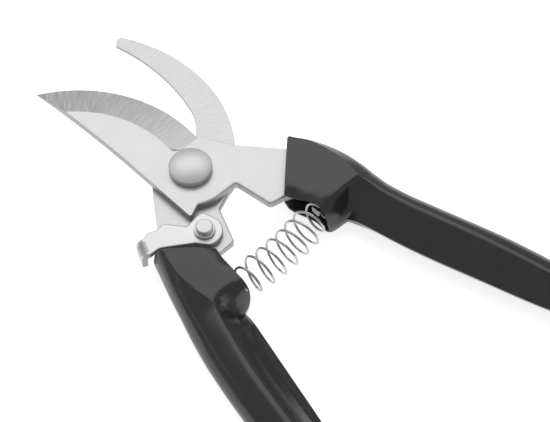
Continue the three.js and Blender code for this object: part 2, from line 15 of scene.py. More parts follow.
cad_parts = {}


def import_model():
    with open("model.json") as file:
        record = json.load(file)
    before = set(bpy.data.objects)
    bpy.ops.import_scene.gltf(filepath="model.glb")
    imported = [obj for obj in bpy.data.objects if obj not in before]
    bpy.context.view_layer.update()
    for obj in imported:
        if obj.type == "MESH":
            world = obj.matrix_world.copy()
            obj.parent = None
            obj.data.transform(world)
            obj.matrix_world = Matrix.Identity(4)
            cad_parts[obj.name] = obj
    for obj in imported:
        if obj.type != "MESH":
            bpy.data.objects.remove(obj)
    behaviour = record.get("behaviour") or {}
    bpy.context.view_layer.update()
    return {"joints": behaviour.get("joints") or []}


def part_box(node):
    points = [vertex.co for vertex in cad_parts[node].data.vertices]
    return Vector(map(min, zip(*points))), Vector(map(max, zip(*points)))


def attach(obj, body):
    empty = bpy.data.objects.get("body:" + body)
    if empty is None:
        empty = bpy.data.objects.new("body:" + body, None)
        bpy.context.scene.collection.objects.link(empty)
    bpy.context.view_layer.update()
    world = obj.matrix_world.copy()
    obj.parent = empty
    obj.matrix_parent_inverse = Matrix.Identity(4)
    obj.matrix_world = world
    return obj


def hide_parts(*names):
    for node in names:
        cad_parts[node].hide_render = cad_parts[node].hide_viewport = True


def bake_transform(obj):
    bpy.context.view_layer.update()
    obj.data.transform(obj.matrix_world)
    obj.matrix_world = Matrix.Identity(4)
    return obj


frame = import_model()

HOOK_HALF, BLADE_HALF, LATCH = "hook_half", "blade_half", "latch"
JOINTS = {joint["name"]: joint for joint in frame["joints"]}
PIVOT = Vector(JOINTS["pivot"]["pos_m"])
LATCH_PIVOT = (Vector(JOINTS["latch_swing"]["pos_m"]) - PIVOT).xy * 1000


def levels(node):
    """Lowest and highest z of a CAD node, in mm."""
    low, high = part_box(node)
    return low.z * 1000, high.z * 1000


HOOK_BOTTOM, HOOK_TOP = levels("counter_blade")
BLADE_BOTTOM, BLADE_TOP = levels("cutting_blade")
LATCH_TOP = levels("latch_lever")[1]
LATCH_THICKNESS = 2.1
LATCH_BOTTOM = LATCH_TOP - LATCH_THICKNESS


# ---- Points and outlines ----


def polar(radius, degrees):
    angle = math.radians(degrees)
    return (radius * math.cos(angle), radius * math.sin(angle))


def smoothstep(value, start, end):
    share = max(0.0, min(1.0, (value - start) / (end - start)))
    return share * share * (3 - 2 * share)


def circle_through(start, middle, end):
    """Centre and radius of the circle through three points."""
    one = np.subtract(middle, start)
    two = np.subtract(end, start)
    d = 2 * (one[0] * two[1] - one[1] * two[0])
    centre = np.array(
        [
            start[0] + (two[1] * (one @ one) - one[1] * (two @ two)) / d,
            start[1] + (one[0] * (two @ two) - two[0] * (one @ one)) / d,
        ]
    )
    return centre, math.dist(centre, start)


def arc(start, middle, end, steps):
    """Points of the arc from start through middle to end, without its first point."""
    centre, radius = circle_through(start, middle, end)
    one = np.subtract(middle, start)
    two = np.subtract(end, start)
    turns_left = one[0] * two[1] - one[1] * two[0] > 0
    first = math.atan2(start[1] - centre[1], start[0] - centre[0])
    sweep = math.atan2(end[1] - centre[1], end[0] - centre[0]) - first
    if turns_left and sweep < 0:
        sweep += 2 * math.pi
    if not turns_left and sweep > 0:
        sweep -= 2 * math.pi
    angles = [first + sweep * i / steps for i in range(1, steps)]
    points = [(centre[0] + radius * math.cos(a), centre[1] + radius * math.sin(a)) for a in angles]
    return points + [tuple(end)]


def fillet(before, corner, after, radius, steps):
    """The corner between two straight edges as steps + 1 points of an arc, no longer than the edges allow."""
    corner = np.array(corner, float)
    into = np.subtract(before, corner)
    out = np.subtract(after, corner)
    room = 0.49 * min(np.linalg.norm(into), np.linalg.norm(out))
    into = into / (np.linalg.norm(into) + 1e-12)
    out = out / (np.linalg.norm(out) + 1e-12)
    half = math.acos(max(-1.0, min(1.0, float(into @ out)))) / 2
    if half < 1e-3 or half > math.pi / 2 - 1e-3:
        shares = [2 * i / steps - 1 for i in range(steps + 1)]
        return [tuple(corner + (into * -s if s < 0 else out * s) * room * 0.5) for s in shares]
    radius = min(radius, room * math.tan(half))
    setback = radius / math.tan(half)
    start = corner + into * setback
    end = corner + out * setback
    bisector = (into + out) / np.linalg.norm(into + out)
    centre = corner + bisector * radius / math.sin(half)
    one = start - centre
    two = end - centre
    sweep = math.atan2(one[0] * two[1] - one[1] * two[0], float(one @ two))
    points = []
    for i in range(steps + 1):
        c, s = math.cos(sweep * i / steps), math.sin(sweep * i / steps)
        points.append((centre[0] + one[0] * c - one[1] * s, centre[1] + one[0] * s + one[1] * c))
    return points


def outline(corners, arc_steps=16, corner_steps=6):
    """A closed outline. Each corner is (x, y), (x, y, {"round": r}) or (x, y, {"via": (x, y)})."""
    at = [corner[:2] for corner in corners]
    points = []
    for i, corner in enumerate(corners):
        how = corner[2] if len(corner) > 2 else {}
        before, after = at[i - 1], at[(i + 1) % len(at)]
        if "round" in how:
            points += fillet(before, at[i], after, how["round"], corner_steps)
        elif "via" in how:
            points += arc(before, how["via"], at[i], how.get("steps", arc_steps))
        else:
            points.append(at[i])
    return points


def inward_normals(points):
    """Unit normals into a counter-clockwise outline, longer at its corners so that insets stay parallel."""
    points = np.array(points, float)
    ahead = np.roll(points, -1, 0) - points
    ahead /= np.linalg.norm(ahead, axis=1)[:, None] + 1e-12
    behind = np.roll(ahead, 1, 0)
    normal = np.stack([-(ahead[:, 1] + behind[:, 1]), ahead[:, 0] + behind[:, 0]], 1)
    normal /= np.linalg.norm(normal, axis=1)[:, None] + 1e-12
    across = np.stack([-ahead[:, 1], ahead[:, 0]], 1)
    return normal / np.maximum((normal * across).sum(1), 0.5)[:, None]


def is_counter_clockwise(points):
    p = np.array(points, float)
    q = np.roll(p, -1, 0)
    return float((p[:, 0] * q[:, 1] - q[:, 0] * p[:, 1]).sum()) > 0


def inside(point, polygon):
    """True if the point is inside the closed polygon."""
    x, y = point
    found = False
    for (ax, ay), (bx, by) in zip(polygon, polygon[1:] + polygon[:1]):
        if (ay > y) != (by > y) and x < (bx - ax) * (y - ay) / (by - ay) + ax:
            found = not found
    return found


# ---- Meshes ----


def mesh_piece(name, vertices, faces, materials, body, node, flat_faces=True):
    """A piece from vertices in mm about the pivot, riding on a CAD body in place of a CAD node.

    flat_faces keeps its large faces evenly shaded beside small ones."""
    mesh = bpy.data.meshes.new(name)
    metres = [(PIVOT.x + x / 1000, PIVOT.y + y / 1000, z / 1000) for x, y, z in vertices]
    mesh.from_pydata(metres, [], faces)
    for material in materials:
        mesh.materials.append(material)
    mesh.validate()
    mesh.shade_smooth()
    piece = bpy.data.objects.new(name, mesh)
    bpy.context.scene.collection.objects.link(piece)
    if flat_faces:
        weighted = piece.modifiers.new("flat faces stay flat", "WEIGHTED_NORMAL")
        weighted.weight = 60
        weighted.keep_sharp = True
    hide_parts(node)
    if body:
        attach(piece, body)
    return piece


def bridge(faces, lower, upper):
    """Quads between two closed rings of vertex numbers, facing out when the rings run counter-clockwise."""
    n = len(lower)
    for i in range(n):
        j = (i + 1) % n
        faces.append((lower[i], lower[j], upper[j], upper[i]))


def fill(rings, lines=()):
    """Triangles that fill the first ring, around the others, through the points of the lines.

    Rings and lines are lists of (x, y). Returns the points and the triangles; each point is
    (x, y, number), where number counts through the rings' and then the lines' points in order."""
    points, edges = [], []
    for ring in rings:
        first = len(points)
        points += ring
        edges += [(first + i, first + (i + 1) % len(ring)) for i in range(len(ring))]
    for line in lines:
        first = len(points)
        points += line
        edges += [(first + i, first + i + 1) for i in range(len(line) - 1)]
    coords = [Vector(p) for p in points]
    inside_edges = 1
    out, _, triangles, origin, _, _ = delaunay_2d_cdt(coords, edges, [], inside_edges, 1e-6)
    kept = []
    for triangle in triangles:
        middle = sum((out[i] for i in triangle), Vector((0, 0))) / 3
        if not any(inside(middle, hole) for hole in rings[1:]):
            kept.append(tuple(triangle))
    found = [(p.x, p.y, min(o) if o else None) for p, o in zip(out, origin)]
    return found, kept


def circle(centre, radius, count=64):
    angles = [2 * math.pi * i / count for i in range(count)]
    return [(centre[0] + radius * math.cos(a), centre[1] + radius * math.sin(a)) for a in angles]


SNAP = 0.3  # a line's end this near the ring is moved onto it
REACH = 1.2  # and one this near is joined to it by one more stretch


class Plate:
    """Stamped sheet metal: an outline with holes, a crisp lower edge and a rolled upper one.

    top(x, y) is the height of the upper face, roll(x, y) the (width, drop) of its rounded edge,
    undercut(x, y) how far the lower edge is set back, below a land of that height, and lines are creases
    of (x, y, z) points, drawn on the lower face too if both is set."""

    def __init__(
        self, points, bottom, top, holes=(), roll=None, undercut=None, land=1.0, lines=(), both=False
    ):
        if not is_counter_clockwise(points):
            points = points[::-1]
        self.bottom = bottom
        self.top = top
        self.vertices, self.faces = [], []
        self.base = np.array(points, float)
        self.normals = inward_normals(points)
        roll = roll or (lambda x, y: (0.22, 0.22))
        undercut = undercut or (lambda x, y: 0.0)
        height = np.array([top(x, y) for x, y in points]) - bottom
        rolls = np.array([roll(x, y) for x, y in points])
        width = rolls[:, 0] * np.minimum(1, height / 1.5)
        drop = np.minimum(rolls[:, 1], 0.45 * height)
        back = np.array([undercut(x, y) for x, y in points])
        rings = []
        for share in (1.0, 0.35, 0.0):
            inset = back + share * np.minimum(0.14, 0.2 * height)
            rise = (1 - share) ** 2 * np.minimum(0.14, 0.2 * height)
            rings.append(self.ring(inset, bottom + rise))
        if back.any():
            rings.append(self.ring(back * 0, bottom + np.maximum(height - land, 0.3 * height)))
        steps = 5
        for k in range(steps + 1):
            angle = math.pi / 2 * k / steps
            inset = width * (1 - math.cos(angle))
            at = self.base + self.normals * inset[:, None]
            level = np.array([top(x, y) for x, y in at])
            rings.append(self.ring(inset, np.minimum(level, bottom + height) - drop * (1 - math.sin(angle))))
        for lower, upper in zip(rings, rings[1:]):
            bridge(self.faces, lower, upper)
        low_holes, high_holes = self.bore(holes)
        self.walls = len(self.faces)
        self.cap(rings[0], low_holes, lines if both else (), flip=True)
        self.cap(rings[-1], high_holes, lines, flip=False)

    def ring(self, inset, z):
        first = len(self.vertices)
        z = np.broadcast_to(z, len(self.base))
        at = self.base + self.normals * np.asarray(inset)[:, None]
        self.vertices += [(x, y, h) for (x, y), h in zip(at, z)]
        return list(range(first, len(self.vertices)))

    def bore(self, holes):
        """The walls of the holes. Returns their lowest and highest rings."""
        low, high = [], []
        for centre, radius in holes:
            top = self.top(*centre)
            rings = []
            for grown, z in ((0.15, self.bottom), (0, self.bottom + 0.15), (0, top - 0.25), (0.25, top)):
                first = len(self.vertices)
                self.vertices += [(x, y, z) for x, y in circle(centre, radius + grown)]
                rings.append(list(range(first, len(self.vertices))))
            for lower, upper in zip(rings, rings[1:]):
                bridge(self.faces, upper, lower)
            low.append(rings[0])
            high.append(rings[-1])
        return low, high

    def cap(self, ring, hole_rings, lines, flip):
        """Fills a face of the plate. A line is cut off at the ring and joined to it."""
        numbers = [ring] + hole_rings
        flat = [[self.vertices[i][:2] for i in numbers_of] for numbers_of in numbers]
        known = [i for numbers_of in numbers for i in numbers_of]
        edge = np.array(flat[0])
        drawn = []
        for line in lines:
            line = [tuple(p) for p in line if inside(p[:2], flat[0])]
            for end in (0, -1):
                away = np.linalg.norm(edge - np.array(line[end][:2]), axis=1)
                joint = (*edge[away.argmin()], line[end][2])
                if away.min() < SNAP:
                    line[end] = joint
                elif away.min() < REACH:
                    line.insert(0 if end == 0 else len(line), joint)
            for x, y, z in line:
                known.append(len(self.vertices))
                self.vertices.append((x, y, z))
            drawn.append([p[:2] for p in line])
        found, triangles = fill(flat, drawn)
        place = []
        for x, y, number in found:
            if number is None:
                self.vertices.append((x, y, self.top(x, y)))
                place.append(len(self.vertices) - 1)
            else:
                place.append(known[number])
        for triangle in triangles:
            a, b, c = (place[i] for i in triangle)
            self.faces.append((a, c, b) if flip else (a, b, c))

    def tidy(self):
        """Drops the vertices that no face uses."""
        used = sorted({i for face in self.faces for i in face})
        new = {old: i for i, old in enumerate(used)}
        self.vertices = [self.vertices[i] for i in used]
        self.faces = [tuple(new[i] for i in face) for face in self.faces]
        return self


def turned(profile, centre, segments=96):
    """A turned piece from (radius, z) pairs, lowest first; the first and last radius are 0."""
    vertices = [(*centre, profile[0][1])]
    faces, rings = [], []
    for radius, z in profile[1:-1]:
        first = len(vertices)
        vertices += [(x, y, z) for x, y in circle(centre, radius, segments)]
        rings.append(list(range(first, len(vertices))))
    vertices.append((*centre, profile[-1][1]))
    for lower, upper in zip(rings, rings[1:]):
        bridge(faces, lower, upper)
    for i in range(segments):
        j = (i + 1) % segments
        faces.append((0, rings[0][j], rings[0][i]))
        faces.append((len(vertices) - 1, rings[-1][i], rings[-1][j]))
    return vertices, faces


def washer(inner, outer, bottom, top, centre, rounding=0.2, segments=96):
    """A flat ring with rounded outer edges."""
    corners = [(inner, bottom), (outer, bottom), (outer, top), (inner, top)]
    profile = []
    for i, corner in enumerate(corners):
        radius = rounding if corner[0] == outer else 0.05
        profile += fillet(corners[i - 1], corner, corners[(i + 1) % 4], radius, 4)
    vertices, faces, rings = [], [], []
    for radius, z in profile:
        first = len(vertices)
        vertices += [(x, y, z) for x, y in circle(centre, radius, segments)]
        rings.append(list(range(first, len(vertices))))
    for lower, upper in zip(rings, rings[1:] + rings[:1]):
        bridge(faces, lower, upper)
    return vertices, faces


# ---- Materials ----


class Nodes:
    """A material's node tree, with short ways to add to it."""

    def __init__(self, name):
        self.material = bpy.data.materials.new(name)
        self.material.use_nodes = True
        self.tree = self.material.node_tree
        self.shader = self.tree.nodes["Principled BSDF"]

    def add(self, kind, settings=None, **inputs):
        """A new node. Inputs are numbers or sockets, named as in Blender with _ for a space."""
        node = self.tree.nodes.new(kind)
        for key, value in (settings or {}).items():
            setattr(node, key, value)
        self.connect(node, **inputs)
        return node

    def connect(self, node, **inputs):
        for key, value in inputs.items():
            socket = node.inputs[int(key[1:])] if key[1:].isdigit() else node.inputs[key.replace("_", " ")]
            if isinstance(value, bpy.types.NodeSocket):
                self.tree.links.new(value, socket)
            else:
                socket.default_value = value

    def math(self, operation, one, two=0.0):
        return self.add("ShaderNodeMath", {"operation": operation}, i0=one, i1=two).outputs[0]

    def millimetres(self):
        """The place on the resting object, in mm about the pivot."""
        place = self.add("ShaderNodeTexCoord").outputs["Object"]
        offset = [-PIVOT.x * 1000, -PIVOT.y * 1000, 0]
        settings = {"operation": "MULTIPLY_ADD"}
        return self.add("ShaderNodeVectorMath", settings, i0=place, i1=[1000] * 3, i2=offset).outputs[0]

    def noise(self, place, scale, detail=2.0, roughness=0.5):
        settings = {"noise_dimensions": "3D"}
        values = dict(Vector=place, Scale=scale, Detail=detail, Roughness=roughness)
        return self.add("ShaderNodeTexNoise", settings, **values).outputs["Fac"]

    def ramp(self, value, low, high, start=0.3, end=0.7):
        """The value, stretched from start..end to low..high and held there."""
        inputs = {"Value": value, "From_Min": start, "From_Max": end, "To_Min": low, "To_Max": high}
        return self.add("ShaderNodeMapRange", **inputs).outputs["Result"]

    def grey(self, value):
        """A number as a colour."""
        return self.add("ShaderNodeCombineColor", Red=value, Green=value, Blue=value).outputs[0]

    def bump(self, height, depth):
        """Dents of that depth, in mm."""
        return self.add("ShaderNodeBump", Height=height, Strength=1.0, Distance=depth / 1000).outputs[0]


def round_about(nodes, centre, along):
    """Texture coordinates that run out from a centre: drawn out along each radius."""
    place = nodes.add("ShaderNodeSeparateXYZ", Vector=nodes.millimetres())
    x = nodes.math("SUBTRACT", place.outputs[0], float(centre[0]))
    y = nodes.math("SUBTRACT", place.outputs[1], float(centre[1]))
    angle = nodes.math("MULTIPLY", nodes.math("ARCTAN2", y, x), along)
    square = nodes.math("ADD", nodes.math("MULTIPLY", x, x), nodes.math("MULTIPLY", y, y))
    radius = nodes.math("MULTIPLY", nodes.math("SQRT", square), 0.06)
    return nodes.add("ShaderNodeCombineXYZ", X=angle, Y=radius).outputs[0]


def metal(name, tone, roughness, place, scale, tone_change, roughness_change, depth):
    """Bare metal whose grain follows the texture coordinates that place(nodes) gives."""
    nodes = Nodes(name)
    at = place(nodes)
    grain = nodes.noise(at, scale, 3.0, 0.6)
    cloud = nodes.noise(nodes.millimetres(), 0.09, 2.0)
    shade = nodes.ramp(grain, -tone_change, tone_change)
    wide = nodes.ramp(cloud, tone * 0.98, tone * 1.02)
    nodes.connect(
        nodes.shader,
        Base_Color=nodes.grey(nodes.math("ADD", shade, wide)),
        Metallic=1.0,
        Roughness=nodes.ramp(grain, roughness - roughness_change, roughness + roughness_change),
        Normal=nodes.bump(grain, depth),
    )
    return nodes.material


def stretched(x, y, z):
    """Texture coordinates scaled by three numbers."""

    def place(nodes):
        settings = {"operation": "MULTIPLY"}
        return nodes.add("ShaderNodeVectorMath", settings, i0=nodes.millimetres(), i1=[x, y, z]).outputs[0]

    return place


PLASTIC_ROUGHNESS = 0.2


def plastic(name):
    """Black moulded plastic, glossy with a faint ripple."""
    nodes = Nodes(name)
    place = nodes.millimetres()
    grain = nodes.noise(place, 7.0, 2.0)
    wave = nodes.noise(place, 0.12, 1.0)
    fine = nodes.bump(grain, 0.0006)
    ripple = nodes.add("ShaderNodeBump", Height=wave, Strength=1.0, Distance=0.00004, Normal=fine)
    nodes.connect(
        nodes.shader,
        Base_Color=nodes.grey(nodes.ramp(wave, 0.02, 0.024)),
        Roughness=nodes.ramp(wave, PLASTIC_ROUGHNESS - 0.02, PLASTIC_ROUGHNESS + 0.02),
        Normal=ripple.outputs[0],
        IOR=1.58,
    )
    return nodes.material


# ---- Cutting blade ----

TIP = (-17, 68.7)
HEEL = (12.7, 10.6)
EDGE_MIDDLE = (5.9, 45.9)
EDGE_CENTRE, EDGE_RADIUS = circle_through(HEEL, EDGE_MIDDLE, TIP)
BEVEL_WIDTH = 12.3
EDGE_THICKNESS = 0.25
GRIND_END = (5.2, 8.7)  # where the grinding stopped, short of the heel
GRIND_START = (0.25, 12.6)  # where the bevel's inner line turns towards the heel
WALL_RUN = 0.7  # width of the steep wall that the grinding left there

PIVOT_BORE = 4.15
LATCH_BORE = 2.55
PIVOT_HOLE = ((0.0, 0.0), PIVOT_BORE)
LATCH_HOLE = (tuple(LATCH_PIVOT), LATCH_BORE)


def hidden_tang(side):
    """The tang inside its grip, with the nib that the spring's end sits on."""
    corners = [(27.4, -38.5), (27.4, -42.4), (19.6, -42.4, {"round": 0.8}), (19.6, -46.4, {"round": 0.8})]
    corners += [(33, -46.4), (36, -56), (40, -76, {"round": 2}), (45, -75, {"round": 2})]
    corners += [(41, -56), (39.0, -38), (36.6, -28)]
    return [(side * corner[0], *corner[1:]) for corner in corners]


def blade_outline():
    corners = [
        HEEL,
        (*TIP, {"via": EDGE_MIDDLE, "steps": 60}),
        (-14.2, 20, {"via": (-15.1, 45), "steps": 60}),
        (-14.2, -15.2, {"round": 0.7}),
        (-9.9, -13.5, {"round": 0.6}),
        polar(15.7, -123.5),
        (0.5, -15.7, {"via": polar(15.7, -106), "steps": 12}),
        (7.6, -15.9, {"round": 1.6}),
        (9.9, -31.4, {"round": 1.6}),
        (15.5, -32.9),
        *hidden_tang(1),
        (31.4, -18.5),
        (19.1, -3.6),
        (12.9, 8.2, {"via": (15.5, 3)}),
    ]
    return outline(corners)


def grind_end(x):
    """Where the steep wall at the end of the bevel runs."""
    share = max(0.0, min(1.0, (GRIND_END[0] - x) / (GRIND_END[0] - GRIND_START[0])))
    return GRIND_END[1] + (GRIND_START[1] - GRIND_END[1]) * (1 - math.sqrt(1 - share * share))


def ground(x, y):
    """Height of the bevel's plane at a point."""
    depth = EDGE_RADIUS - math.dist((x, y), EDGE_CENTRE)
    share = max(0.0, min(1.0, depth / BEVEL_WIDTH))
    return BLADE_BOTTOM + EDGE_THICKNESS + (BLADE_TOP - BLADE_BOTTOM - EDGE_THICKNESS) * share


def blade_top(x, y):
    """Height of the blade's upper face: flat, then the bevel beyond the end of the grinding."""
    if y < GRIND_START[1] + WALL_RUN and x < GRIND_START[0]:
        return BLADE_TOP
    level = ground(x, y)
    past = (grind_end(x) + WALL_RUN - y) / WALL_RUN
    return level + (BLADE_TOP - level) * max(0.0, min(1.0, past))


def bevel_lines():
    """The bevel's inner line with the top of its end wall, and the foot of that wall."""
    radius = EDGE_RADIUS - BEVEL_WIDTH
    first = math.atan2(55.5 - EDGE_CENTRE[1], -15.9 - EDGE_CENTRE[0])
    last = math.asin((GRIND_START[1] + WALL_RUN - EDGE_CENTRE[1]) / radius)
    inner = []
    for i in range(41):
        angle = first + (last - first) * i / 40
        at = (EDGE_CENTRE[0] + radius * math.cos(angle), EDGE_CENTRE[1] + radius * math.sin(angle))
        inner.append((*at, BLADE_TOP))
    xs = [inner[-1][0] + (12.9 - inner[-1][0]) * (i / 24) ** 1.6 for i in range(25)]
    top = [(x, grind_end(x), BLADE_TOP) for x in xs[1:]]
    foot = [inner[-1]] + [(x, grind_end(x) + WALL_RUN, ground(x, grind_end(x) + WALL_RUN)) for x in xs[1:]]
    return [inner + top, foot[:-1] + [(*HEEL, BLADE_BOTTOM + EDGE_THICKNESS)]]


def rolled_lower_edge(x, y):
    """The stamped plates are rolled over where they face the grips, and crisp elsewhere."""
    rolled = smoothstep(-y, 10.5, 13.5) * smoothstep(x, -11.5, -7.5) * (1 - smoothstep(x, 15.5, 18))
    return (0.2 + 1.0 * rolled, 0.2 + 0.25 * rolled)


def cutting_blade(face, bevel, edge):
    plate = Plate(
        blade_outline(), BLADE_BOTTOM, blade_top, [PIVOT_HOLE], roll=rolled_lower_edge, lines=bevel_lines()
    )
    plate.tidy()

    def is_ground(middle, normal):
        return normal.z > 0 and middle.z < BLADE_TOP - 0.01

    finishes = [face, edge, bevel]
    return plate_piece("cutting_blade_plate", plate, finishes, BLADE_HALF, "cutting_blade", is_ground)


def plate_piece(name, plate, materials, body, node, is_ground=None):
    """A plate whose finishes are its faces', its cut edges' and its ground faces', in that order; the cut
    edges' finish is darker partly as painted shade.

    Its faces are divided from its edges by hard lines, so that they stay flat."""
    piece = mesh_piece(name, plate.vertices, plate.faces, materials, None, node)
    mesh = piece.data
    sides = {}
    for face in mesh.polygons:
        middle = Vector((*(face.center - PIVOT).xy, face.center.z)) * 1000
        is_wall = face.index < plate.walls
        if is_wall:
            face.material_index = 1 if abs(face.normal.z) < 0.6 else 0
        elif is_ground and is_ground(middle, face.normal):
            face.material_index = 2
        for key in face.edge_keys:
            sides.setdefault(key, []).append((face, is_wall))
    for edge in mesh.edges:
        (one, one_is_wall), (two, two_is_wall) = sides[tuple(edge.key)]
        finishes = {one.material_index, two.material_index}
        ground_line = 2 in finishes and len(finishes) == 2
        turn = one.normal.angle(two.normal, 0)
        edge.use_edge_sharp = ground_line or one_is_wall != two_is_wall or turn > math.radians(40)
    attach(piece, body)
    return piece


# ---- Counter-blade ----

HOOK_INNER = [(13, 11.4), (20.7, 24.1, {"via": (18, 17.1)}), (20.7, 65.5, {"via": (23.4, 45), "steps": 40})]
HOOK_CENTRE, _ = circle_through((20.7, 24.1), (23.4, 45), (20.7, 65.5))
HOOK_RELIEF = 1.4


def hook_outline():
    corners = [
        *HOOK_INNER,
        (22.4, 67.3),
        (25.5, 67.1, {"via": (23.9, 67.9), "steps": 8}),
        (33.7, 35.8, {"via": (31.3, 53.3), "steps": 30}),
        (20.6, -1.9, {"via": (30.8, 16.3), "steps": 30}),
        (4.7, -15.4, {"via": (14.6, -10.8)}),
        (-3, -18.3, {"round": 1}),
        (-9, -32.2, {"round": 1.4}),
        (-16, -31.9),
        *hidden_tang(-1),
        (-31.4, -17.5),
        (-11.7, 9.1),
        (0, 14.8, {"via": (-7.4, 12.8)}),
    ]
    return outline(corners)


def hook_undercut(x, y):
    """The inner edge is relieved underneath, so that only its top corner shears."""
    on_inner_edge = 11 < y < 65.6 and 12.9 < x < 23.5
    return HOOK_RELIEF if on_inner_edge else 0.0


def counter_blade(face, edge):
    holes = [PIVOT_HOLE, LATCH_HOLE]
    plate = Plate(
        hook_outline(),
        HOOK_BOTTOM,
        lambda x, y: HOOK_TOP,
        holes,
        roll=rolled_lower_edge,
        undercut=hook_undercut,
    )
    plate.tidy()
    return plate_piece("counter_blade_plate", plate, [face, edge], HOOK_HALF, "counter_blade")


# ---- Latch ----

TAB_NEAR = Vector((-37.8, -15.1))
TAB_FAR = Vector((-34.8, -8.1))
BEND_INSIDE = 1.2
BEND_OUTSIDE = BEND_INSIDE + LATCH_THICKNESS
TAB_DROP = 9.6  # from the lever's top face to the tab's end
BENT_LENGTH = BEND_OUTSIDE * math.pi / 2

ALONG_TAB = (TAB_FAR - TAB_NEAR).normalized()
OFF_TAB = Vector((-ALONG_TAB.y, ALONG_TAB.x))
BEND_START = TAB_NEAR - OFF_TAB * BEND_OUTSIDE


def on_pattern(along, off):
    """A point of the flat pattern, from where the bend starts: along the tab's width and off the lever."""
    return tuple(BEND_START + ALONG_TAB * along + OFF_TAB * off)


def bend(point):
    """Folds a point of the flat pattern down round the bend."""
    place = Vector(point[:2]) - BEND_START
    along, off = place.dot(ALONG_TAB), place.dot(OFF_TAB)
    if off <= 0:
        return point
    radius = BEND_INSIDE + point[2] - LATCH_BOTTOM
    angle = min(off / BEND_OUTSIDE, math.pi / 2)
    drop = max(0.0, off - BENT_LENGTH)
    at = on_pattern(along, radius * math.sin(angle))
    return (*at, LATCH_BOTTOM - BEND_INSIDE + radius * math.cos(angle) - drop)


def latch_lever(face, edge):
    width = (TAB_FAR - TAB_NEAR).length
    length = BENT_LENGTH + TAB_DROP - BEND_OUTSIDE
    corners = [
        (-12.6, -15.9, {"round": 1.1}),
        (-9.4, -16, {"round": 1.6}),
        (-7.8, -21.1),
        (-17.2, -28.0, {"via": (-10.3, -27.6)}),
        (-20.2, -24, {"round": 1}),
        (-30.6, -16.6, {"round": 4}),
        on_pattern(0.1, 0),
        (*on_pattern(0.25, length), {"round": width / 2 - 0.3}),
        (*on_pattern(width - 0.25, length), {"round": width / 2 - 0.3}),
        on_pattern(width - 0.1, 0),
        (-29.4, -8.6, {"round": 1.4}),
        (-26.2, -10.2, {"round": 2}),
        (-23, -9.6, {"round": 1.2}),
        (-17.4, -16.7, {"round": 0.9}),
    ]
    pattern = []
    corner_points = outline(corners, corner_steps=10)
    for start, end in zip(corner_points, corner_points[1:] + corner_points[:1]):
        pieces = max(1, round(math.dist(start, end) / 0.5))
        pattern += [tuple(np.add(start, np.subtract(end, start) * i / pieces)) for i in range(pieces)]
    creases = []
    for i in range(15):
        off = BENT_LENGTH * i / 14
        creases.append([(*on_pattern(width * k / 10, off), LATCH_TOP) for k in range(1, 10)])
    plate = Plate(
        pattern,
        LATCH_BOTTOM,
        lambda x, y: LATCH_TOP,
        [LATCH_HOLE],
        roll=lambda x, y: (0.6, 0.35),
        lines=creases,
        both=True,
    )
    plate.vertices = [bend(vertex) for vertex in plate.vertices]
    plate.tidy()
    return plate_piece("latch_lever_plate", plate, [face, edge], LATCH, "latch_lever")


# ---- Rivets ----

HEAD_RADIUS = 8
HEAD_DOME = 1.7


def rounded(profile, radii, steps=6):
    """A turned profile with its corners rounded by the radius given for each."""
    points = [profile[0]]
    for i in range(1, len(profile) - 1):
        points += fillet(profile[i - 1], profile[i], profile[i + 1], radii[i - 1], steps)
    return points + [profile[-1]]


def rivets(steel):
    bottom, top = levels("pivot_rivet")
    washer_bottom, washer_top = levels("pivot_washer")
    head = BLADE_TOP + 0.1
    sphere = (HEAD_RADIUS**2 + HEAD_DOME**2) / (2 * HEAD_DOME)
    dome = []
    for i in range(25):
        radius = 0.9 * HEAD_RADIUS * (1 - i / 24)
        dome.append((radius, top - sphere + math.sqrt(sphere**2 - radius**2)))
    tail = [(0, bottom), (3.9, bottom), (5.6, bottom + 1.2), (5.6, washer_bottom), (4, washer_bottom)]
    stem = [(4, head), (HEAD_RADIUS, head), (HEAD_RADIUS, top - HEAD_DOME)]
    profile = rounded(tail + stem + dome[:1], [0.6, 1.0, 0.1, 0.05, 0.05, 0.3, 0.4])[:-1] + dome
    pieces = [turned_piece("pivot_rivet_body", profile, (0, 0), steel, "pivot_rivet")]
    pieces.append(washer_piece("pivot_washer_ring", PIVOT_BORE, 7.0, (0, 0), steel, "pivot_washer"))

    bottom, top = levels("latch_rivet")
    washer_bottom, washer_top = levels("latch_washer")
    under = HOOK_BOTTOM - 0.1
    neck = washer_top + 0.1
    tail = [(0, bottom), (2.6, bottom), (3.4, bottom + 0.8), (3.4, under)]
    head = [(2.4, under), (2.4, neck), (3.1, neck), (3.1, top), (0, top)]
    profile = rounded(tail + head, [0.4, 0.5, 0.1, 0.05, 0.05, 0.1, 0.55])
    pieces.append(turned_piece("latch_rivet_body", profile, LATCH_PIVOT, steel, "latch_rivet"))
    pieces.append(washer_piece("latch_washer_ring", LATCH_BORE, 3.85, LATCH_PIVOT, steel, "latch_washer"))
    return pieces


def turned_piece(name, profile, centre, steel, node):
    vertices, faces = turned(profile, centre)
    piece = mesh_piece(name, vertices, faces, [steel], HOOK_HALF, node)
    piece.data.set_sharp_from_angle(angle=math.radians(40))
    return piece


def washer_piece(name, inner, outer, centre, steel, node):
    bottom, top = levels(node)
    vertices, faces = washer(inner, outer, bottom, top, centre, 0.25)
    return mesh_piece(name, vertices, faces, [steel], HOOK_HALF, node)


# ---- Return spring ----

WIRE_RADIUS = 0.48
SPRING_RADIUS = 6.45
SPRING_END_RADIUS = 4.6
SPRING_TURNS = 9.74
SPRING_END_PHASE = 1.354  # radians round from +Y where the wire ends in the blade's grip
SPRING_REACH = 25.22  # pivot to the middle of the end turns, along X
SPRING_BOW = 3.2
SPRING_SEAT_Y = -44.4
HOOK_GRIP_BOTTOM, HOOK_GRIP_TOP = levels("hook_grip")
BLADE_GRIP_BOTTOM, BLADE_GRIP_TOP = levels("blade_grip")


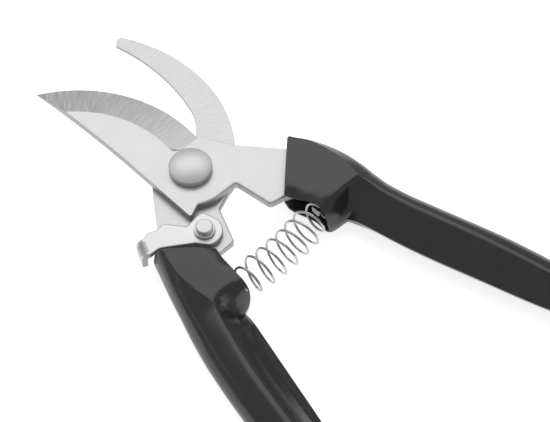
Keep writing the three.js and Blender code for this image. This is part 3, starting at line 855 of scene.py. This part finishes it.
def spring_point(t):
    """The middle of the wire: closed-in turns at both ends, and a bow away from the pivot between them."""
    from_end = min(t, 1 - t) * SPRING_TURNS
    opened = smoothstep(from_end, 1, 2.5)
    radius = SPRING_END_RADIUS + (SPRING_RADIUS - SPRING_END_RADIUS) * opened
    angle = SPRING_END_PHASE - (1 - t) * SPRING_TURNS * 2 * math.pi
    bow = 4 * SPRING_BOW * t * (1 - t)
    lean = opened * 4 * SPRING_BOW * (1 - 2 * t) / (2 * SPRING_REACH)
    low = (HOOK_GRIP_BOTTOM + HOOK_GRIP_TOP) / 2
    high = (BLADE_GRIP_BOTTOM + BLADE_GRIP_TOP) / 2
    return Vector(
        (
            -SPRING_REACH + 2 * SPRING_REACH * t + radius * math.cos(angle) * lean,
            SPRING_SEAT_Y - bow + radius * math.cos(angle),
            low + (high - low) * t + radius * math.sin(angle),
        )
    )


def tube(points, radius, sides):
    """A round tube along the points, with closed ends."""
    count = len(points)
    vertices, faces, rings = [], [], []
    side = Vector((0, 0, 1))
    for i, point in enumerate(points):
        along = (points[min(i + 1, count - 1)] - points[max(i - 1, 0)]).normalized()
        side = (side - along * side.dot(along)).normalized()
        other = along.cross(side)
        first = len(vertices)
        for k in range(sides):
            angle = 2 * math.pi * k / sides
            vertices.append(tuple(point + (side * math.cos(angle) + other * math.sin(angle)) * radius))
        rings.append(list(range(first, first + sides)))
    for lower, upper in zip(rings, rings[1:]):
        bridge(faces, lower, upper)
    faces.append(tuple(reversed(rings[0])))
    faces.append(tuple(rings[-1]))
    return vertices, faces


def return_spring(wire):
    steps = round(SPRING_TURNS * 40)
    points = [spring_point(i / steps) for i in range(steps + 1)]
    vertices, faces = tube(points, WIRE_RADIUS, 12)
    piece = mesh_piece("return_spring_wire", vertices, faces, [wire], None, "return_spring")
    piece.data.set_sharp_from_angle(angle=math.radians(60))
    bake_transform(piece)
    return piece


# ---- Grips ----

# Each grip is drawn as if it lay on z = 0 with its outer side towards +X. Its cross-section has these
# corners, and each corner's way along the grip is given as (y, value) points.

GRIP_HEIGHT = 14
END_FACE_DISTANCE = 34.8
END_FACE_ANGLE = math.radians(-47.8)
POCKET_FLOOR = 26
POCKET_BOTTOM = 1.35
POCKET_END = -51


def smooth(keys, y):
    """A smooth reading between (y, value) points that never overshoots them. y falls along the keys."""
    ys = [-key[0] for key in keys]
    values = [key[1] for key in keys]
    at = -y
    if at <= ys[0]:
        return values[0]
    if at >= ys[-1]:
        return values[-1]
    i = max(k for k in range(len(ys) - 1) if ys[k] <= at)
    rise = [(values[k + 1] - values[k]) / (ys[k + 1] - ys[k]) for k in range(len(ys) - 1)]

    def slope(k):
        if k == 0 or k == len(ys) - 1:
            return rise[min(k, len(rise) - 1)]
        before, after = rise[k - 1], rise[k]
        return 0.0 if before * after <= 0 else 2 * before * after / (before + after)

    span = ys[i + 1] - ys[i]
    t = (at - ys[i]) / span
    h = t * t * (3 - 2 * t)
    curve = slope(i) * t * (1 - t) ** 2 - slope(i + 1) * t * t * (1 - t)
    return values[i] * (1 - h) + values[i + 1] * h + span * curve


BLADE_GRIP = {
    "outer": [
        (-10, 31), (-18, 36.9), (-23, 40.6), (-30, 44), (-38, 46.3), (-46, 47.2), (-53, 47.2),
        (-61.6, 48.7), (-78.8, 53.7), (-104.6, 61.4), (-126, 65.7), (-139, 66.8),
    ],
    "crease": [
        (-10, 30.5), (-18, 33.6), (-24, 37), (-30, 38.8), (-34.5, 39.6), (-38, 39.9), (-42, 39.6),
        (-46.6, 39.1), (-48.5, 39), (-52.8, 39.6), (-57.2, 40), (-63, 40.9), (-69.3, 42.4),
        (-78.4, 45), (-93.6, 49.2), (-114.5, 53.8), (-139, 58.5),
    ],
    "inner": [
        (-10, 14), (-32, 14), (-34.6, 14.6), (-39.4, 16.6), (-42.5, 18.4), (-46, 19.2), (-49.5, 19),
        (-51, 19.2), (-51.8, 20), (-52.3, 21.6), (-52.6, 24), (-52.8, 26.6), (-53.2, 27.6),
        (-55, 28.2), (-61.6, 29.3), (-78.8, 33.2), (-104.6, 40.9), (-126, 47.6), (-139, 52.6),
    ],
    "lower": [
        (-10, 17), (-31.7, 17.2), (-34, 16.6), (-37, 17), (-42, 18.6), (-46, 19.4), (-49.5, 19.2),
        (-51, 19.4), (-51.8, 20.2), (-52.3, 21.8), (-52.6, 24.2), (-52.8, 26.8), (-53.2, 28),
        (-55, 28.8), (-61.6, 30.2), (-78.8, 34.2), (-104.6, 42), (-126, 48.8), (-139, 54),
    ],
    "fold": [
        (-47.4, 33.6), (-48.2, 33), (-49, 32.2), (-50, 31.2), (-50.9, 30.4), (-51.6, 29.8),
        (-52.6, 29.6), (-53.2, 30), (-55, 31.4), (-58, 33.2), (-61.6, 34.8), (-78.8, 39.4),
        (-104.6, 47.2), (-126, 53.2), (-139, 57),
    ],
    "fold height": [
        (-46.8, 14), (-47.6, 13.4), (-48.9, 10.6), (-49.9, 8.2), (-50.9, 6.4), (-51.6, 5.8),
        (-52.6, 5.6), (-53.2, 5.8), (-55, 7), (-58, 8.7), (-61.6, 9.6), (-139, 9.6),
    ],
    "shoulder": [
        (-43, 14), (-45, 13.9), (-46.6, 13.5), (-48.6, 12), (-50, 10), (-51, 7.8), (-51.8, 5.2),
        (-52.6, 2.8), (-53.2, 3.2), (-55, 4.6), (-58, 5.8), (-61.6, 6.4), (-139, 6.4),
    ],
    "crease rounding": [
        (-18, 3), (-24, 1.8), (-30, 0.7), (-34, 0.35), (-46.6, 0.3), (-48, 0.6), (-53, 1.6),
        (-60, 2.6), (-80, 4), (-139, 4),
    ],
}

HOOK_GRIP = {
    "outer": [
        (-10, 29), (-15, 33.5), (-23, 36.8), (-31, 39.9), (-40, 43.1), (-50, 46.6), (-61.6, 49.9),
        (-78.8, 53.6), (-104.6, 57.8), (-126, 60.8), (-139, 61.8),
    ],
    "crease": [
        (-10, 29.5), (-17.5, 31.4), (-20.3, 32.1), (-25, 33.4), (-32, 34.5), (-39.5, 34.3),
        (-44, 33.6), (-46.6, 33.4), (-50, 34.4), (-57.3, 37.2), (-69.9, 40.8), (-81.3, 43.4),
        (-94.6, 45.8), (-114, 49.2), (-139, 53),
    ],
    "inner": [
        (-10, 16.4), (-32, 17.2), (-34.5, 17.8), (-42, 18.9), (-47, 19.3), (-50, 19.2),
        (-51.2, 19.6), (-52, 20.6), (-52.6, 22.2), (-53, 23.6), (-53.6, 24.4), (-57, 25),
        (-61.6, 26), (-78.8, 30.1), (-104.6, 36.4), (-126, 42.2), (-139, 46.8),
    ],
    "lower": [
        (-10, 16.8), (-32, 17.6), (-34.5, 18.2), (-42, 19.3), (-47, 19.7), (-50, 19.6), (-51.2, 20),
        (-52, 21), (-52.6, 22.6), (-53, 24.2), (-53.6, 25.2), (-57, 26.2), (-61.6, 27.4),
        (-78.8, 31.8), (-104.6, 38.2), (-126, 44), (-139, 48.6),
    ],
    "fold": [
        (-46.6, 30), (-48.5, 29.4), (-50.4, 28.9), (-52.6, 28.8), (-55, 29.4), (-58, 30.8),
        (-61.6, 32.6), (-78.8, 37.6), (-104.6, 42.6), (-126, 47.4), (-139, 50.6),
    ],
    "fold height": [
        (-45.6, 14), (-46.6, 13.4), (-48, 11), (-49.4, 8.6), (-51, 6.9), (-52.6, 6.4), (-55, 7.2),
        (-58, 8.5), (-61.6, 9.4), (-139, 9.6),
    ],
    "shoulder": [
        (-43, 14), (-45, 13.9), (-46.6, 13.3), (-48.6, 11.6), (-50, 9.6), (-51, 7.4), (-51.8, 5),
        (-52.6, 3), (-53.2, 3.2), (-55, 4.6), (-58, 5.8), (-61.6, 6.4), (-139, 6.4),
    ],
    "crease rounding": [
        (-18, 2), (-24, 2.4), (-34, 2.6), (-44, 2.2), (-48, 2), (-53, 2.2), (-60, 2.6), (-80, 4),
        (-139, 4),
    ],
}

# Shared by both grips. Heights are above the grip's underside.
LIP_HEIGHT = [
    (-36, 12.3), (-42, 12.95), (-46.6, 12.9), (-48.6, 11.5), (-50, 9.6), (-51, 7.2), (-51.8, 4.4),
    (-52.6, 2.2), (-53.2, 2.4), (-55, 3.2), (-58, 4.2), (-61.6, 4.8), (-139, 5),
]
POCKET_CEILING = [
    (-34, 11.2), (-41, 12.45),
]
OUTER_SIDE = 5.6
UPPER_SIDE = 11
GRIP_END = -139
GRIP_END_ROUNDING = 9
# Rounding of the end face's rim at each corner of the cross-section: most on the outer side.
RIM_ROUNDING = [1.0, 1.2, 1.2, 1.0, 0.45, 0.4, 0.25, 0.2, 0.2, 0.2, 0.2, 0.3]


def mix(one, two, share):
    return tuple(a + (b - a) * share for a, b in zip(one, two))


def grip_section(grip, y):
    """The cross-section's points at y, as (x, z), counter-clockwise from the underside's outer corner."""
    outer, crease = smooth(grip["outer"], y), smooth(grip["crease"], y)
    inner, lower = smooth(grip["inner"], y), smooth(grip["lower"], y)
    fold = smooth(grip["fold"], y)
    housing = grip["fold"][0][0]
    if y > housing:
        fold += crease - smooth(grip["crease"], housing)
    into_handle = smoothstep(-y, 54, 64)
    height = GRIP_HEIGHT
    lip = (inner, smooth(LIP_HEIGHT, y))
    foot = (lower + 0.3 + 1.2 * into_handle, 0)
    closed = smoothstep(-y, -POCKET_END - 0.4, -POCKET_END + 0.4)
    ceiling, floor = min(smooth(POCKET_CEILING, y), lip[1] - 0.5), POCKET_BOTTOM
    ceiling_lip = mix((inner + 0.15, ceiling), mix(lip, foot, 0.25), closed)
    floor_lip = mix((lower + 0.15, floor), mix(lip, foot, 0.8), closed)
    ceiling_end = mix((POCKET_FLOOR, ceiling), mix(lip, foot, 0.45), closed)
    floor_end = mix((POCKET_FLOOR, floor), mix(lip, foot, 0.6), closed)
    shoulder = inner + 4.6 - 3.6 * smoothstep(-y, 51, 52.6) + 2.2 * into_handle
    handle = 1 + into_handle
    corners = [
        ((outer - 1.6, 0), 2.2 * handle),
        ((outer + 0.15, OUTER_SIDE), 7 * handle),
        ((crease + (outer - crease) * 0.72, UPPER_SIDE), 7 * handle),
        ((crease, height - 0.2 * smoothstep(-y, 46.6, 50)), smooth(grip["crease rounding"], y)),
        ((fold, smooth(grip["fold height"], y)), 1.6 + 12 * smoothstep(-y, 54, 62)),
        ((shoulder, smooth(grip["shoulder"], y)), 24),
        (lip, 0.45 + 1.8 * into_handle),
        (ceiling_lip, 0.4),
        (ceiling_end, 0.6),
        (floor_end, 0.6),
        (floor_lip, 0.4),
        (foot, 0.7 + 1.8 * into_handle),
    ]
    points = []
    for i, (corner, radius) in enumerate(corners):
        before, after = corners[i - 1][0], corners[(i + 1) % len(corners)][0]
        points += fillet(before, corner, after, radius, 6)
    share = max(0.01, min(1.0, (y - GRIP_END) / GRIP_END_ROUNDING))
    shrink = math.sqrt(1 - (1 - share) ** 2)
    middle = np.array([(outer + inner) / 2, height / 2])
    return middle + (np.array(points) - middle) * shrink


def grip_stations():
    """Where along Y the cross-sections are taken behind the housing's top face."""
    ys = list(np.arange(-46.2, -48.6, -0.2)) + list(np.arange(-48.6, -53, -0.3))
    ys += list(np.arange(-53, -55.4, -0.12)) + list(np.arange(-55.4, -62, -0.5))
    ys += list(np.arange(-62, GRIP_END + GRIP_END_ROUNDING, -2.0))
    for k in range(13):
        ys.append(GRIP_END + GRIP_END_ROUNDING * (1 - math.sin(math.pi / 2 * k / 12)))
    return ys


def grip(name, node, body, side, table, bottom, material):
    """A moulded grip, lofted from its flat end face through the housing to the handle's round end."""
    ys = np.arange(-6, -50, -0.5)
    sections = np.array([grip_section(table, y) for y in ys])
    count = sections.shape[1]
    normal = (math.cos(END_FACE_ANGLE), math.sin(END_FACE_ANGLE))
    ahead = sections[:, :, 0] * normal[0] + ys[:, None] * normal[1]

    def read(point_ys):
        """The longitudinal lines' (x, y, z), each at its own y."""
        x = [np.interp(-y, -ys, sections[:, i, 0]) for i, y in enumerate(point_ys)]
        z = [np.interp(-y, -ys, sections[:, i, 1]) for i, y in enumerate(point_ys)]
        return np.stack([x, point_ys, z], 1)

    def at_end_face(behind):
        """Each longitudinal line's y at its own distance behind the end face."""
        return np.array([np.interp(END_FACE_DISTANCE + behind[i], ahead[:, i], ys) for i in range(count)])

    rings = []
    rim = np.interp(np.arange(count) / 7, np.arange(len(RIM_ROUNDING)) + 0.43, RIM_ROUNDING)
    for k in range(7):
        angle = math.pi / 2 * k / 6
        ring = read(at_end_face(rim * (1 - math.cos(angle))))
        along = ring[:, 0] * -normal[1] + ring[:, 1] * normal[0]
        flat = np.stack([along, ring[:, 2]], 1)
        inset = inward_normals(flat) * (rim * (1 - math.sin(angle)))[:, None]
        ring[:, 0] += inset[:, 0] * -normal[1]
        ring[:, 1] += inset[:, 0] * normal[0]
        ring[:, 2] += inset[:, 1]
        rings.append(ring)
    start = at_end_face(rim)
    for k in range(1, 30):
        rings.append(read(start + (-46.2 - start) * k / 30))
    for y in grip_stations():
        section = grip_section(table, y)
        rings.append(np.stack([section[:, 0], np.full(count, y), section[:, 1]], 1))
    vertices = [(side * x, y, z + bottom) for x, y, z in np.concatenate(rings)]
    numbers = [list(range(count * k, count * (k + 1))) for k in range(len(rings))]
    faces = []
    for lower, upper in zip(numbers, numbers[1:]):
        bridge(faces, lower, upper)
    face_ring = rings[0]
    flat = [(x * -normal[1] + y * normal[0], z) for x, y, z in face_ring]
    found, triangles = fill([flat])
    for triangle in triangles:
        a, b, c = (found[i][2] for i in triangle)
        faces.append((a, c, b))
    faces.append(tuple(numbers[-1]))
    if side > 0:
        faces = [tuple(reversed(face)) for face in faces]
    piece = mesh_piece(name, vertices, faces, [material], body, node, flat_faces=False)
    piece.data.set_sharp_from_angle(angle=math.radians(50))
    return piece


# ---- Floor, lights and camera ----


def floor():
    nodes = Nodes("pale floor")
    nodes.connect(
        nodes.shader,
        Base_Color=(0.86, 0.86, 0.86, 1),
        Roughness=0.9,
        Specular_IOR_Level=0.0,
        Emission_Color=(1, 1, 1, 1),
        Emission_Strength=0.72,
    )
    mesh = bpy.data.meshes.new("floor")
    corners = [(-3, -3, -5e-5), (3, -3, -5e-5), (3, 3, -5e-5), (-3, 3, -5e-5)]
    mesh.from_pydata(corners, [], [(0, 1, 2, 3)])
    mesh.materials.append(nodes.material)
    piece = bpy.data.objects.new("floor", mesh)
    bpy.context.scene.collection.objects.link(piece)


def softbox(name, turn, elevation, size, radiance, distance=0.9):
    """A rectangular area light that looks at the jaws' pivot and is as bright as a surface of that radiance.

    turn is in degrees to the left from straight behind the shears, as the camera sees them."""
    light = bpy.data.lights.new(name, "AREA")
    light.shape = "RECTANGLE"
    light.size, light.size_y = size
    light.energy = radiance * math.pi * size[0] * size[1]
    lamp = bpy.data.objects.new(name, light)
    heading = math.radians(45 + turn)
    rise = math.radians(elevation)
    towards = Vector((math.cos(heading) * math.cos(rise), math.sin(heading) * math.cos(rise), math.sin(rise)))
    lamp.location = PIVOT + towards * distance
    lamp.rotation_euler = towards.to_track_quat("Z", "Y").to_euler()
    bpy.context.scene.collection.objects.link(lamp)


def world(brightness):
    sky = bpy.data.worlds.new("studio")
    sky.use_nodes = True
    sky.node_tree.nodes["Background"].inputs["Color"].default_value = (1, 1, 1, 1)
    sky.node_tree.nodes["Background"].inputs["Strength"].default_value = brightness
    bpy.context.scene.world = sky


def camera():
    """Looks down at 57 degrees from the hook grip's side, behind the pivot."""
    data = bpy.data.cameras.new("camera")
    data.lens = 87.38
    data.sensor_width = 36
    data.clip_start = 0.01
    item = bpy.data.objects.new("camera", data)
    elevation = math.radians(57)
    turn = Matrix.Rotation(math.radians(-45), 3, "Z")
    tilt = Matrix.Rotation(math.pi / 2 - elevation, 3, "X")
    item.matrix_world = Matrix.Translation((-0.17838, -0.18449, 0.41416)) @ (turn @ tilt).to_4x4()
    bpy.context.scene.collection.objects.link(item)
    bpy.context.scene.camera = item


def build():
    plain = stretched(1, 1, 1)
    flat = metal("satin plate", 0.57, 0.36, stretched(1.0, 1.6, 1.0), 2.2, 0.02, 0.03, 0.0008)
    bevel = metal(
        "ground bevel", 0.55, 0.38, lambda n: round_about(n, EDGE_CENTRE, 58.0), 1.9, 0.1, 0.08, 0.002
    )
    hook = metal(
        "cross-brushed plate", 0.56, 0.38, lambda n: round_about(n, HOOK_CENTRE, 60.0), 2.6, 0.07, 0.06, 0.001
    )
    # The cut edges' steel is rougher than the faces'. Its tone is also set darker as painted shade, standing
    # in for the shade on the plates' thickness faces.
    edge = metal("sheared edge with painted shade", 0.42, 0.5, stretched(1.5, 1.5, 0.3), 2.0, 0.06, 0.08, 0.004)
    latch = metal("bent sheet", 0.62, 0.36, plain, 2.5, 0.02, 0.04, 0.0008)
    turned_steel = metal("turned steel", 0.68, 0.46, plain, 2.5, 0.01, 0.02, 0.0002)
    wire = metal("spring wire", 0.5, 0.2, plain, 1.2, 0.02, 0.03, 0.0003)
    black = plastic("black plastic")
    cutting_blade(flat, bevel, edge)
    counter_blade(hook, edge)
    latch_lever(latch, edge)
    rivets(turned_steel)
    return_spring(wire)
    grip("blade_grip_body", "blade_grip", BLADE_HALF, 1, BLADE_GRIP, BLADE_GRIP_BOTTOM, black)
    grip("hook_grip_body", "hook_grip", HOOK_HALF, -1, HOOK_GRIP, HOOK_GRIP_BOTTOM, black)


build()
floor()
world(0.42)
softbox("ceiling", 6, 56, (1.1, 0.75), 1.1)
softbox("strip", 72, 32, (0.9, 0.05), 1.3)
camera()
bpy.context.scene.view_settings.view_transform = "Standard"
